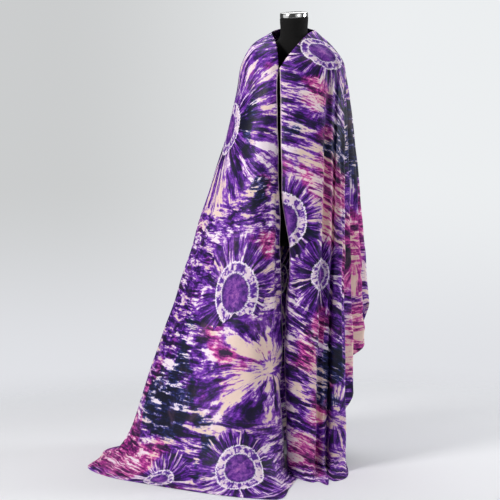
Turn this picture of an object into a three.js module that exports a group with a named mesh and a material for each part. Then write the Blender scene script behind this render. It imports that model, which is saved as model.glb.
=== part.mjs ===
// A resist-dyed cloth hung like a cloak from a dress form. Millimetres, +Z up.
// The origin is on the floor at the form's upright. X is the viewer's right and Y points away.
import * as THREE from "three";

// Driving sizes of the stand
const stand = {
  baseRadius: 130,
  baseThickness: 8,
  baseEdge: 2,
  bossRadius: 26,
  bossHeight: 34,
  bossTaper: 3,
  poleRadius: 14,
  seat: 0.3, // gap between pieces that touch
  turn: 18, // degrees that the form's front is turned towards -X
  capRadius: 50,
  capHeight: 20,
  capTilt: 10, // degrees that the cap and the neck's end lean forward
  capFoot: 1.5, // rounding at the cap's foot, and how far its top is domed
  capWall: 15, // height of its upright wall
  capShoulder: 18, // height at which its top edge turns in
  torsoSides: 32,
  capSides: 40,
  poleSides: 24,
  baseSides: 64,
};

// Level sections of the torso and neck: height, half width, reach to the front and to the back
const torsoSections = [
  { z: 800, side: 128, front: 78, back: 96 },
  { z: 812, side: 138, front: 86, back: 104 },
  { z: 890, side: 150, front: 92, back: 116 },
  { z: 980, side: 138, front: 86, back: 96 },
  { z: 1080, side: 120, front: 82, back: 76 },
  { z: 1180, side: 134, front: 96, back: 80 },
  { z: 1270, side: 148, front: 108, back: 90 },
  { z: 1350, side: 156, front: 94, back: 98 },
  { z: 1410, side: 163, front: 74, back: 96 },
  { z: 1440, side: 172.5, front: 60, back: 84 },
  { z: 1464, side: 159.5, front: 54, back: 74 },
  { z: 1490, side: 127, front: 52, back: 66 },
  { z: 1516, side: 84, front: 50, back: 58 },
  { z: 1542, side: 53, front: 49, back: 54 },
  { z: 1611, side: 52, front: 52, back: 52, slanted: true },
];

// The cloth, as upright lines from its neck edge to its hem, in order round the form.
// collar: where the line starts. yoke: where it leaves the shoulder or chest and hangs free.
// rise: how high it passes between the two, if not as usual. bow: below 1 it flares out early, above 1 late.
// foot: where a hanging line would meet the floor. lift: the height at which it starts to turn out
// along the floor. hem: its end, with a height only where it hangs clear of the floor.
// sway: a stretch that swings sideways by so much round a height, over so much above and below.
const cloth = {
  thickness: 2.6,
  levels: 22,
  stepsPerLine: 2,
  over: 0.7, // where a line passes over the shoulder, as a share of the way from collar to yoke
  rise: 0.62, // how high it passes there, as a share of the way from yoke to collar
  hangShares: [0.08, 0.2, 0.32, 0.44, 0.56, 0.68, 0.84, 1],
  turnShares: [0.25, 0.5, 0.75, 1],
};
const frontLeft = [
  { collar: [-58, -112, 1417], yoke: [-63, -127, 1352], foot: [-32, -136], lift: 40, hem: [22, -140],
    sway: { by: -14, z: 290, over: 120 } },
  { collar: [-58, -110, 1423], yoke: [-70, -128, 1354], foot: [-46, -180], lift: 60, hem: [4, -228] },
  { collar: [-58, -107, 1432], yoke: [-79, -126, 1358], foot: [-66, -230], lift: 100, hem: [-24, -352] },
];
const leftSail = [
  { collar: [-58, -102, 1446], yoke: [-92, -122, 1368], foot: [-96, -280], lift: 180, hem: [-62, -496] },
  { collar: [-59, -92, 1468], yoke: [-122, -102, 1394], foot: [-168, -336], lift: 240, hem: [-150, -486] },
  { collar: [-61, -78, 1490], yoke: [-152, -70, 1422], foot: [-262, -322], lift: 250, hem: [-250, -448],
    bow: 1.04 },
  { collar: [-65, -55, 1512], yoke: [-176, -24, 1440], foot: [-382, -246], lift: 210, hem: [-385, -374],
    bow: 1.06 },
  { collar: [-70, -30, 1531], yoke: [-186, 20, 1448], foot: [-500, -132], lift: 160, hem: [-520, -290],
    bow: 1.1 },
  { collar: [-75, -10, 1545], yoke: [-185, 50, 1452], foot: [-585, 20], lift: 110, hem: [-650, -196],
    bow: 1.12 },
  { collar: [-79, 8, 1556], yoke: [-180, 70, 1455], foot: [-632, 150], lift: 80, hem: [-741, -60],
    bow: 1.12 },
  { collar: [-80, 22, 1562], yoke: [-173, 88, 1457], foot: [-642, 232], lift: 60, hem: [-718, 90],
    bow: 1.12 },
  { collar: [-76, 36, 1567], yoke: [-160, 103, 1459], foot: [-610, 290], lift: 60, hem: [-706, 236],
    bow: 1.1 },
];
const backFolds = [
  { collar: [-68, 48, 1572], yoke: [-140, 118, 1462], foot: [-520, 326], lift: 60, hem: [-648, 306] },
  { collar: [-58, 58, 1576], yoke: [-114, 122, 1462], foot: [-420, 276], lift: 50, hem: [-540, 322] },
  { collar: [-46, 66, 1580], yoke: [-84, 136, 1464], foot: [-345, 392], lift: 80, hem: [-398, 462] },
  { collar: [-34, 72, 1583], yoke: [-58, 133, 1464], foot: [-262, 318], lift: 60, hem: [-300, 374] },
  { collar: [-20, 75, 1585], yoke: [-32, 143, 1465], foot: [-192, 372], lift: 80, hem: [-226, 446] },
  { collar: [-4, 77, 1586], yoke: [0, 136, 1466], foot: [-84, 268], lift: 50, hem: [-104, 322] },
  { collar: [14, 76, 1586], yoke: [34, 143, 1467], foot: [8, 384], lift: 50, hem: [6, 430] },
  { collar: [28, 72, 1585], yoke: [60, 131, 1467], hem: [72, 284, 26] },
  { collar: [40, 67, 1583], yoke: [88, 126, 1466], hem: [132, 318, 70] },
  { collar: [51, 58, 1580], yoke: [112, 103, 1464], hem: [152, 212, 120] },
  { collar: [60, 48, 1577], yoke: [134, 90, 1462], hem: [200, 236, 200], bow: 0.8 },
  { collar: [66, 38, 1574], yoke: [150, 62, 1456], hem: [196, 176, 310], bow: 0.8 },
];
const sideCascade = [
  { collar: [71, 28, 1571], yoke: [166, 40, 1450], hem: [287, 150, 576], bow: 0.58, rise: 0.5 },
  { collar: [73, 22, 1571], yoke: [170, 24, 1448], hem: [214, 116, 515], bow: 0.7, rise: 0.46 },
  { collar: [74, 14, 1570], yoke: [175, 8, 1446], hem: [267, 88, 425], bow: 0.58, rise: 0.42 },
  { collar: [74, 6, 1569], yoke: [175, -8, 1445], hem: [190, 60, 360], bow: 0.8, rise: 0.42 },
  { collar: [72, -2, 1567], yoke: [178, -22, 1444], hem: [222, 32, 256], bow: 0.7, rise: 0.42 },
  { collar: [68, -10, 1564], yoke: [174, -36, 1444], hem: [160, 6, 150], rise: 0.42 },
];
const rightPanel = [
  { collar: [62, -16, 1560], yoke: [173, -52, 1444], foot: [186, -76], lift: 30, hem: [192, -108],
    rise: 0.42 },
  { collar: [53, -24, 1555], yoke: [163, -66, 1440], foot: [158, -112], lift: 50, hem: [172, -222],
    rise: 0.45 },
  { collar: [44, -36, 1546], yoke: [154, -79, 1436], foot: [127, -120], lift: 50, hem: [132, -258],
    rise: 0.48 },
  { collar: [36, -48, 1537], yoke: [147, -80, 1434], foot: [116, -84], lift: 40, hem: [118, -232],
    rise: 0.5 },
  { collar: [24, -62, 1525], yoke: [134, -100, 1425], foot: [100, -126], lift: 50, hem: [106, -312],
    rise: 0.55 },
  { collar: [10, -76, 1507], yoke: [114, -106, 1412], foot: [74, -110], lift: 40, hem: [76, -262] },
  { collar: [-6, -88, 1488], yoke: [104, -124, 1400], foot: [64, -184], lift: 50, hem: [58, -274],
    sway: { by: -12, z: 560, over: 160 } },
  { collar: [-26, -99, 1464], yoke: [36, -132, 1392], foot: [20, -188], lift: 50, hem: [34, -254] },
  { collar: [-46, -109, 1435], yoke: [-34, -130, 1380], foot: [-18, -174], lift: 46, hem: [18, -236],
    sway: { by: 26, z: 730, over: 150 } },
  { collar: [-54, -112, 1424], yoke: [-52, -122, 1376], foot: [-26, -150], lift: 40, hem: [10, -206],
    sway: { by: 34, z: 730, over: 150 } },
];
const clothLines = [...frontLeft, ...leftSail, ...backFolds, ...sideCascade, ...rightPanel];

// Finishes
const blackCover = new THREE.MeshStandardMaterial({ color: 0x141416, roughness: 0.85, metalness: 0 });
const brightMetal = new THREE.MeshStandardMaterial({ color: 0xd8dadd, roughness: 0.12, metalness: 1 });
const satinMetal = new THREE.MeshStandardMaterial({ color: 0x9a9c9f, roughness: 0.35, metalness: 1 });
const dyedCloth = new THREE.MeshStandardMaterial({ color: 0x5a2aa0, roughness: 0.45, metalness: 0 });

const front = new THREE.Vector3(0, -1, 0).applyAxisAngle(
  new THREE.Vector3(0, 0, 1), THREE.MathUtils.degToRad(-stand.turn));
const side = new THREE.Vector3(-1, 0, 0).applyAxisAngle(
  new THREE.Vector3(0, 0, 1), THREE.MathUtils.degToRad(-stand.turn));
const lean = THREE.MathUtils.degToRad(stand.capTilt);

// A closed body through rings of points, each ring the same length, with flat ends
function loft(rings) {
  const around = rings[0].length;
  const points = rings.flat();
  const faces = [];
  for (let r = 0; r + 1 < rings.length; r++) {
    for (let i = 0; i < around; i++) {
      const a = r * around + i;
      const b = r * around + ((i + 1) % around);
      faces.push(a, b, b + around, a, b + around, a + around);
    }
  }
  const lastRing = (rings.length - 1) * around;
  for (let i = 1; i + 1 < around; i++) {
    faces.push(0, i + 1, i, lastRing, lastRing + i, lastRing + i + 1);
  }
  return meshOf(points, faces);
}

function meshOf(points, faces) {
  const geometry = new THREE.BufferGeometry().setFromPoints(points);
  geometry.setIndex(faces);
  geometry.computeVertexNormals();
  return geometry;
}

function named(name, geometry, material) {
  const mesh = new THREE.Mesh(geometry, material);
  mesh.name = name;
  return mesh;
}

// Lathe profiles are drawn round Y, so they are stood up along Z
function turned(profile, sides) {
  const points = profile.map(([r, z]) => new THREE.Vector2(r, z));
  return new THREE.LatheGeometry(points, sides).rotateX(Math.PI / 2);
}

function torso() {
  const rings = torsoSections.map((section) => {
    const ring = [];
    for (let i = 0; i < stand.torsoSides; i++) {
      const angle = (i / stand.torsoSides) * Math.PI * 2;
      const reach = Math.cos(angle) > 0 ? section.front : section.back;
      const drop = section.slanted ? Math.cos(angle) * reach * Math.tan(lean) : 0;
      ring.push(new THREE.Vector3(0, 0, section.z - drop)
        .addScaledVector(front, Math.cos(angle) * reach)
        .addScaledVector(side, -Math.sin(angle) * section.side));
    }
    return ring;
  });
  return loft(rings);
}

function neckCap() {
  const r = stand.capRadius;
  const foot = stand.capFoot;
  const top = stand.capHeight;
  const profile = [[0, 0], [r - 1, 0], [r, foot], [r - 1, stand.capWall], [r - 3, stand.capShoulder], [r - 7, top],
    [0, top + foot]];
  const cap = named("neck_cap", turned(profile, stand.capSides), brightMetal);
  cap.quaternion.setFromAxisAngle(side, -lean);
  cap.position.set(0, 0, torsoSections.at(-1).z + stand.seat / Math.cos(lean));
  return cap;
}

function stem() {
  const bottom = torsoSections[0].z;
  const from = stand.baseThickness + stand.bossHeight + stand.seat;
  const length = bottom - stand.seat - from;
  const pole = new THREE.CylinderGeometry(stand.poleRadius, stand.poleRadius, length, stand.poleSides);
  pole.rotateX(Math.PI / 2).translate(0, 0, from + length / 2);
  return pole;
}

function base() {
  const r = stand.baseRadius;
  const t = stand.baseThickness;
  const edge = stand.baseEdge;
  const boss = stand.bossRadius;
  const top = t + stand.bossHeight;
  const profile = [[0, 0], [r, 0], [r, t - edge], [r - edge, t], [boss, t], [boss - stand.bossTaper, top], [0, top]];
  return turned(profile, stand.baseSides);
}

// 1 in the middle, 0 from -1 down and from 1 up, smooth between
function bump(x) {
  return Math.abs(x) < 1 ? 0.5 + 0.5 * Math.cos(Math.PI * x) : 0;
}

// The points of one upright line of the cloth, from its neck edge to its hem
function clothLine(line) {
  const floor = cloth.thickness / 2;
  const collar = new THREE.Vector3(...line.collar);
  const yoke = new THREE.Vector3(...line.yoke);
  const hangsClear = line.hem.length === 3;
  const end = hangsClear ? new THREE.Vector3(...line.hem) : new THREE.Vector3(...line.foot, floor);
  const over = collar.clone().lerp(yoke, cloth.over);
  over.z = yoke.z + (collar.z - yoke.z) * (line.rise ?? cloth.rise);
  const lowest = hangsClear ? end.z : line.lift;
  const hang = (share) => {
    const z = yoke.z + (lowest - yoke.z) * share;
    const out = Math.pow((yoke.z - z) / (yoke.z - end.z), line.bow ?? 1);
    const swing = line.sway ? line.sway.by * bump((z - line.sway.z) / line.sway.over) : 0;
    return new THREE.Vector3(yoke.x + (end.x - yoke.x) * out + swing, yoke.y + (end.y - yoke.y) * out, z);
  };
  const points = [collar, over, yoke, ...cloth.hangShares.map(hang)];
  if (!hangsClear) {
    const hem = new THREE.Vector3(...line.hem, floor);
    const turn = new THREE.QuadraticBezierCurve3(hang(1), end, hem);
    points.push(...cloth.turnShares.map((share) => turn.getPoint(share)));
  }
  return new THREE.CatmullRomCurve3(points).getSpacedPoints(cloth.levels - 1);
}

// A sheet through the upright lines, given its thickness on both sides
function drapedCloth() {
  const lines = clothLines.map(clothLine);
  const across = (lines.length - 1) * cloth.stepsPerLine + 1;
  const grid = [];
  for (let level = 0; level < cloth.levels; level++) {
    const round = new THREE.CatmullRomCurve3(lines.map((line) => line[level]));
    grid.push(round.getPoints(across - 1));
  }
  const at = (i, j) => j * across + i;
  const middle = grid.flat();
  const faces = [];
  for (let j = 0; j + 1 < cloth.levels; j++) {
    for (let i = 0; i + 1 < across; i++) {
      faces.push(at(i, j), at(i + 1, j + 1), at(i + 1, j), at(i, j), at(i, j + 1), at(i + 1, j + 1));
    }
  }
  return sheetSolid(middle, faces, across);
}

function sheetSolid(middle, faces, across) {
  const half = cloth.thickness / 2;
  const flat = meshOf(middle, faces);
  const normals = flat.getAttribute("normal");
  const count = middle.length;
  const points = [];
  for (const way of [1, -1]) {
    middle.forEach((point, i) => {
      const moved = point.clone().addScaledVector(new THREE.Vector3().fromBufferAttribute(normals, i), way * half);
      moved.z = Math.max(moved.z, way * Math.sign(normals.getZ(i)) > 0 ? cloth.thickness : 0);
      points.push(moved);
    });
  }
  const back = [];
  for (let i = 0; i < faces.length; i += 3) {
    back.push(faces[i] + count, faces[i + 2] + count, faces[i + 1] + count);
  }
  const rim = [];
  const last = count - across;
  for (let i = 0; i + 1 < across; i++) {
    rim.push([i, i + 1], [last + i + 1, last + i]);
  }
  for (let j = 0; j + 1 < cloth.levels; j++) {
    rim.push([(j + 1) * across, j * across], [(j + 1) * across - 1, (j + 2) * across - 1]);
  }
  const edge = rim.flatMap(([a, b]) => [a, b, b + count, a, b + count, a + count]);
  return meshOf(points, [...faces, ...back, ...edge]);
}

const dressed = new THREE.Group();
dressed.add(
  named("form_base", base(), satinMetal),
  named("form_pole", stem(), satinMetal),
  named("dress_form", torso(), blackCover),
  neckCap(),
  named("adire_cloth", drapedCloth(), dyedCloth),
);
export default dressed;
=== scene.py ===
# An adire cloth hung like a cloak on a dress form, dressed over its CAD frame.
# Tables are in millimetres like the CAD model's; Blender works in metres.
import math

import bmesh
import bpy
import numpy as np
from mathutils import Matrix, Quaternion, Vector


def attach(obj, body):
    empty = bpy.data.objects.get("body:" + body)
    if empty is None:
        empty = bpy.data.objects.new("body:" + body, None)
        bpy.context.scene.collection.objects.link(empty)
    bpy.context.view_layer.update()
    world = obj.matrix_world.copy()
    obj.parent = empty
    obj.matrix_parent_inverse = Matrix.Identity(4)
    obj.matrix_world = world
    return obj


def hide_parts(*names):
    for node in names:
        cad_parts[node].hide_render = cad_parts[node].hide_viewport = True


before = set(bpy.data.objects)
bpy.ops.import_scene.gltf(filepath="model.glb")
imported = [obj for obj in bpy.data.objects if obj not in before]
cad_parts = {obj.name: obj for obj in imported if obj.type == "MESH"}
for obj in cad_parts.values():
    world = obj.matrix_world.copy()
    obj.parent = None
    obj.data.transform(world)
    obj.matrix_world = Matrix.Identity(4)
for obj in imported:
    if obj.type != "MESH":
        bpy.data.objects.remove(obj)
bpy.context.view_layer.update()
mm = 0.001
scene = bpy.context.scene
scene.view_settings.view_transform = "Standard"
print("frame loaded")

# The photo's view, and soft lamps with the key high on the left
view = {
    "place": (-0.157, -4.5, 1.06),
    "pitch": 86.46,     # degrees up from straight down
    "lens": 90.0,
    "sensor": 36,
}
# place, aim, size, watts and tint
lamps = {
    "key": ((-2.9, -2.2, 2.5), (-0.15, 0.0, 0.9), 1.0, 118, (1.0, 0.985, 0.97)),
    "fill": ((2.4, -3.0, 1.7), (0.0, 0.0, 0.8), 1.3, 14, (1.0, 0.99, 0.98)),
    "side": ((2.9, 0.5, 1.8), (0.2, 0.0, 0.9), 1.0, 46, (0.98, 0.99, 1.0)),
    "top": ((0.3, 1.1, 3.6), (0.0, 0.0, 0.6), 3.4, 84, (1.0, 1.0, 1.0)),
}
studio = {
    "floorRadius": 6.0,
    "floorTint": (0.82, 0.83, 0.86),
    "fade": (0.7, 2.6),                 # where the floor starts to fade into the backdrop, and ends
    "backLeft": (0.60, 0.61, 0.615),    # painted shade: the backdrop is a little darker on the left
    "backRight": (0.84, 0.86, 0.875),
    "backLow": (0.745, 0.755, 0.79),
    "sides": (-0.16, 0.12),
    "lows": (0.0, -0.16),
    "ambient": 0.07,
    "bands": [((-0.96, -0.27, 0), 0.80), ((0.61, -0.79, 0), 0.50)],    # soft upright light, out of view
    "bandEdge": (0.84, 0.93),
}


# Nodes go into the tree that was started last; a finished tree is taken off the end
trees = []


def newNode(kind, **values):
    node = trees[-1].nodes.new(kind if kind.startswith("Node") else "ShaderNode" + kind)
    for name, value in values.items():
        setattr(node, name, value)
    return node


def join(value, socket):
    if isinstance(value, bpy.types.NodeSocket):
        trees[-1].links.new(value, socket)
    elif value is not None:
        socket.default_value = value


def fill(sockets, values):
    for name, value in values.items():
        join(value, sockets[name])


def sums(operation, a, b=None, c=None, clamp=False):
    node = newNode("Math", operation=operation, use_clamp=clamp)
    for value, socket in zip((a, b, c), node.inputs):
        join(value, socket)
    return node.outputs[0]


def times(a, b):
    return sums("MULTIPLY", a, b)


def minus(a, b):
    return sums("SUBTRACT", a, b)


def plus(base, value, share):
    return sums("MULTIPLY_ADD", value, share, base)


# A noise's value around its middle, so that it moves the base both ways
def vary(base, value, share):
    return plus(base, minus(value, 0.5), share)


def vectors(operation, a, b=None, scale=None):
    node = newNode("VectorMath", operation=operation)
    join(a, node.inputs[0])
    join(b, node.inputs[1])
    if scale is not None:
        join(scale, node.inputs["Scale"])
    return node.outputs["Value" if operation in ("LENGTH", "DOT_PRODUCT", "DISTANCE") else "Vector"]


def scaled(a, scale):
    return vectors("SCALE", a, scale=scale)


def parts(place):
    node = newNode("SeparateXYZ")
    join(place, node.inputs[0])
    return list(node.outputs)


def fromParts(*values):
    node = newNode("CombineXYZ")
    for value, socket in zip(values, node.inputs):
        join(value, socket)
    return node.outputs[0]


def blend(factor, a, b, kind="RGBA", mode="MIX"):
    node = newNode("Mix", data_type=kind)
    if kind == "RGBA":
        node.blend_type = mode
        a, b = [(*tint, 1) if isinstance(tint, tuple) else tint for tint in (a, b)]
    first, second, out = {"FLOAT": (2, 3, 0), "VECTOR": (4, 5, 1), "RGBA": (6, 7, 2)}[kind]
    fill(node.inputs, {0: factor, first: a, second: b})
    return node.outputs[out]


def step(value, low, high):
    node = newNode("MapRange", interpolation_type="SMOOTHSTEP")
    fill(node.inputs, {"Value": value, "From Min": low, "From Max": high})
    return node.outputs[0]


def below(value, low, high):
    return minus(1.0, step(value, low, high))


def noise(place, scale, detail=2.0, rough=0.5, bend=0.0, color=False):
    node = newNode("TexNoise")
    fill(node.inputs, {"Vector": place, "Scale": scale, "Detail": detail, "Roughness": rough,
                             "Distortion": bend})
    return node.outputs["Color" if color else "Fac"]


def colorRamp(value, stops):
    node = newNode("ValToRGB")
    ramp = node.color_ramp
    while len(ramp.elements) < len(stops):
        ramp.elements.new(0.5)
    for element, (at, tint) in zip(ramp.elements, stops):
        element.position = at
        element.color = (*tint, 1)
    join(value, node.inputs[0])
    return node.outputs[0]


def startMaterial(name):
    material = bpy.data.materials.new(name)
    material.use_nodes = True
    trees.append(material.node_tree)
    return material, trees[-1].nodes["Principled BSDF"].inputs


def addObject(name, data):
    thing = bpy.data.objects.new(name, data)
    scene.collection.objects.link(thing)
    return thing


def makeCamera():
    data = bpy.data.cameras.new("photoCamera")
    data.lens = view["lens"]
    data.sensor_width = view["sensor"]
    camera = addObject("photoCamera", data)
    camera.location = view["place"]
    camera.rotation_euler = (math.radians(view["pitch"]), 0, 0)
    scene.camera = camera


def makeLamps():
    for name, (place, aim, size, watts, tint) in lamps.items():
        data = bpy.data.lights.new(name, "AREA")
        data.energy = watts
        data.size = size
        data.color = tint
        light = addObject(name, data)
        light.location = place
        light.rotation_euler = (Vector(aim) - Vector(place)).to_track_quat("-Z", "Y").to_euler()


def makeBackground():
    world = bpy.data.worlds.new("paleStudio")
    scene.world = world
    world.use_nodes = True
    trees.append(world.node_tree)
    trees[-1].nodes.clear()
    place = newNode("TexCoord").outputs["Generated"]
    x, y, z = parts(place)
    # painted shade: the backdrop the camera sees is darker on the left
    shade = blend(step(x, *studio["sides"]), studio["backLeft"], studio["backRight"])
    shade = blend(step(z, *studio["lows"]), shade, studio["backLow"])
    strength = studio["ambient"]
    for way, power in studio["bands"]:
        band = step(vectors("DOT_PRODUCT", place, way), *studio["bandEdge"])
        strength = plus(strength, band, power)
    seen = newNode("Background")
    light = newNode("Background")
    fill(seen.inputs, {"Color": shade})
    fill(light.inputs, {"Color": (1, 1, 1, 1), "Strength": strength})
    path = newNode("LightPath")
    either = newNode("MixShader")
    fill(either.inputs, {0: path.outputs["Is Camera Ray"], 1: light.outputs[0], 2: seen.outputs[0]})
    fill(newNode("OutputWorld").inputs, {"Surface": either.outputs[0]})
    trees.pop()


def makeFloor():
    mesh = bpy.data.meshes.new("studioFloor")
    shape = bmesh.new()
    bmesh.ops.create_circle(shape, cap_ends=True, segments=96, radius=studio["floorRadius"])
    shape.to_mesh(mesh)
    shape.free()
    floor = addObject("studioFloor", mesh)
    material, finish = startMaterial("paleFloor")
    reach = vectors("LENGTH", newNode("TexCoord").outputs["Object"])
    fade = newNode("MapRange", interpolation_type="SMOOTHERSTEP")
    start, stop = studio["fade"]
    fill(fade.inputs, {"Value": reach, "From Min": start, "From Max": stop, "To Min": 1, "To Max": 0})
    fill(finish, {"Base Color": (*studio["floorTint"], 1), "Roughness": 0.5, "Specular IOR Level": 0.25,
                        "Alpha": fade.outputs[0]})
    trees.pop()
    mesh.materials.append(material)


makeCamera()
makeLamps()
makeBackground()
makeFloor()
print("studio made")


def meshPiece(name, points, faces):
    mesh = bpy.data.meshes.new(name)
    mesh.from_pydata([tuple(p) for p in points], [], faces)
    mesh.validate()
    shape = bmesh.new()
    shape.from_mesh(mesh)
    bmesh.ops.recalc_face_normals(shape, faces=shape.faces)
    shape.to_mesh(mesh)
    shape.free()
    mesh.polygons.foreach_set("use_smooth", [True] * len(mesh.polygons))
    return addObject(name, mesh)


# A smooth curve through points at even steps, with the same steps in each stretch
def throughPoints(points, steps):
    points = np.asarray(points, float)
    ends = [2 * points[:1] - points[1:2], points, 2 * points[-1:] - points[-2:-1]]
    p = np.concatenate(ends)
    gap = np.maximum(np.sum((p[1:] - p[:-1]) ** 2, -1, keepdims=True) ** 0.25, 1e-4)
    rows = []
    for k in range(1, len(p) - 2):
        before, here, after = gap[k - 1], gap[k], gap[k + 1]
        leave = (p[k] - p[k - 1]) / before - (p[k + 1] - p[k - 1]) / (before + here)
        leave = (leave + (p[k + 1] - p[k]) / here) * here
        reach = (p[k + 1] - p[k]) / here - (p[k + 2] - p[k]) / (here + after)
        reach = (reach + (p[k + 2] - p[k + 1]) / after) * here
        for s in range(steps):
            t = s / steps
            rows.append((2 * t**3 - 3 * t**2 + 1) * p[k] + (t**3 - 2 * t**2 + t) * leave
                        + (3 * t**2 - 2 * t**3) * p[k + 1] + (t**3 - t**2) * reach)
    rows.append(p[-2])
    return np.array(rows)


def evenly(points, count):
    length = np.concatenate([[0], np.cumsum(np.linalg.norm(np.diff(points, axis=0), axis=1))])
    at = np.linspace(0, length[-1], count)
    return np.stack([np.interp(at, length, points[:, k]) for k in range(3)], 1)


# 1 in the middle, 0 from -1 down and from 1 up
def bump(x):
    return np.where(np.abs(x) < 1, 0.5 + 0.5 * np.cos(np.pi * np.clip(x, -1, 1)), 0)


def gridNormals(grid):
    along = np.gradient(grid, axis=0)
    across = np.gradient(grid, axis=1)
    n = np.cross(across, along)
    return n / np.maximum(np.linalg.norm(n, axis=2, keepdims=True), 1e-9)

# An input of None is a vector and an output of () is a color; the rest are numbers
def startGroup(name, inputs, outputs):
    tree = bpy.data.node_groups.new(name, "ShaderNodeTree")
    trees.append(tree)
    for way, sockets in (("INPUT", inputs), ("OUTPUT", outputs)):
        for label, value in sockets.items():
            kind = "Vector" if value is None else "Color" if value == () else "Float"
            socket = tree.interface.new_socket(name=label, in_out=way, socket_type="NodeSocket" + kind)
            if kind == "Float":
                socket.default_value = value
    return newNode("NodeGroupInput").outputs, newNode("NodeGroupOutput").inputs


def useGroup(group, **values):
    node = newNode("Group", node_tree=group)
    for name, value in values.items():
        label = "".join(" " + c if c.isupper() else c for c in name)
        join(value, node.inputs[label[:1].upper() + label[1:]])
    return node.outputs


# Crossed threads: a height for the bump and a tone that varies from thread to thread
def makeWeaveGroup():
    given, made = startGroup("threadWeave", {"Place": None, "Threads": 900.0, "Slant": 0.5},
                                   {"Height": 0.0, "Tone": 0.0})
    x, y, z = parts(scaled(given["Place"], given["Threads"]))
    warp = sums("SINE", times(plus(x, y, given["Slant"]), math.pi))
    weft = sums("SINE", times(y, math.pi * 0.5))
    line = fromParts(times(x, 0.5), times(y, 0.012))
    fill(made, {"Height": plus(plus(0.5, weft, 0.2), warp, 0.35),
                      "Tone": noise(line, 1.0, 1.0)})
    return trees.pop()


# Uneven handling marks: lint, rubbed spots, faint smears
def makeWearGroup():
    given, made = startGroup("softWear", {"Place": None, "Scale": 12.0, "Amount": 0.5},
                                   {"Mask": 0.0, "Speck": 0.0})
    place, scale = given["Place"], given["Scale"]
    broad = noise(place, scale, 4.0, 0.6)
    fine = noise(place, times(scale, 14.0), 3.0, 0.7)
    mask = step(plus(broad, fine, 0.35), 0.5, 0.95)
    speck = step(noise(place, times(scale, 60.0), 2.0), 0.68, 0.8)
    fill(made, {"Mask": times(mask, given["Amount"]), "Speck": times(speck, given["Amount"])})
    return trees.pop()


weaveGroup = makeWeaveGroup()
wearGroup = makeWearGroup()


def bumpOf(height, distance, strength=1.0, normal=None):
    node = newNode("Bump")
    fill(node.inputs, {"Strength": strength, "Distance": distance, "Height": height, "Normal": normal})
    return node.outputs[0]


cloth = {
    "levels": 161,
    "steps": 6,             # columns from one line to the next
    "smooth": 24,           # points from one spot of a line to the next, before they are evened out
    "thickness": 1.0,
    "floorGap": 1.3,
    "over": 0.7,            # where a line passes over the shoulder, as a share of collar to yoke
    "rise": 0.62,
    "hangs": (0.08, 0.2, 0.32, 0.44, 0.56, 0.68, 0.84, 1),
    "turns": (0.25, 0.5, 0.75, 1),
    "flat": (1.52, 2.29),   # metres, the cut length before it was hung
}


# A line of the cloth from its neck edge over collar and yoke, where it leaves the body, to its hem.
# It lies down at its foot from the height lift, or hangs clear where the hem has a height of its own.
# bow is how it swings outward; sway pushes it sideways round one height.
def hang(collar, yoke, hem, foot=None, lift=0, bow=1, rise=cloth["rise"], sway=(0, 0, 1)):
    collar, yoke = np.array(collar, float), np.array(yoke, float)
    end = np.array([*foot, cloth["floorGap"]] if foot else hem, float)
    over = collar + (yoke - collar) * cloth["over"]
    over[2] = yoke[2] + (collar[2] - yoke[2]) * rise
    lowest = lift if foot else end[2]
    by, height, around = sway

    def fall(share):
        z = yoke[2] + (lowest - yoke[2]) * share
        out = ((yoke[2] - z) / (yoke[2] - end[2])) ** bow
        x, y = yoke[:2] + (end[:2] - yoke[:2]) * out
        return np.array([x + by * bump((z - height) / around), y, z])

    points = [collar, over, yoke, *[fall(share) for share in cloth["hangs"]]]
    if foot:
        start, stop = fall(1), np.array([*hem, cloth["floorGap"]])
        points += [(1 - t) ** 2 * start + 2 * t * (1 - t) * end + t**2 * stop for t in cloth["turns"]]
    return evenly(throughPoints(points, cloth["smooth"]), cloth["levels"])


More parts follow.
